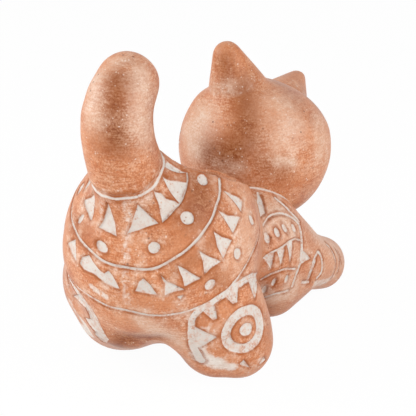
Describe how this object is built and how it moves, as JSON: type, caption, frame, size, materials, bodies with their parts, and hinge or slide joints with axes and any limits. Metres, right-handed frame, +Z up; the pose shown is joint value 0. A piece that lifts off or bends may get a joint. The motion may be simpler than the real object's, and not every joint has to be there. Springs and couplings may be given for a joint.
{
  "type": "animal planter",
  "caption": "Hand-built terracotta planter shaped as a cat in a play bow, hollow, with a round planting mouth in the back, a drain hole below and its head turned to the left.",
  "frame": {"origin": "middle of the footprint's bounding box, on the ground under the soles", "axes": "+Z up, the cat's body points along -Y from rump to paws, and its left side is +X"},
  "size_m": [0.116, 0.2358, 0.1784],
  "materials": {
    "burnished_terracotta": "burnished, unglazed, with white slip rubbed into the carving"
  },
  "bodies": {
    "root": {"body_left_half": "burnished_terracotta", "body_right_half": "burnished_terracotta", "head_face_half": "burnished_terracotta", "head_back_half": "burnished_terracotta", "left_ear": "burnished_terracotta", "right_ear": "burnished_terracotta", "nose": "burnished_terracotta", "tail": "burnished_terracotta", "left_hind_leg": "burnished_terracotta", "right_hind_leg": "burnished_terracotta", "left_front_leg": "burnished_terracotta", "right_front_leg": "burnished_terracotta"}
  },
  "joints": []
}
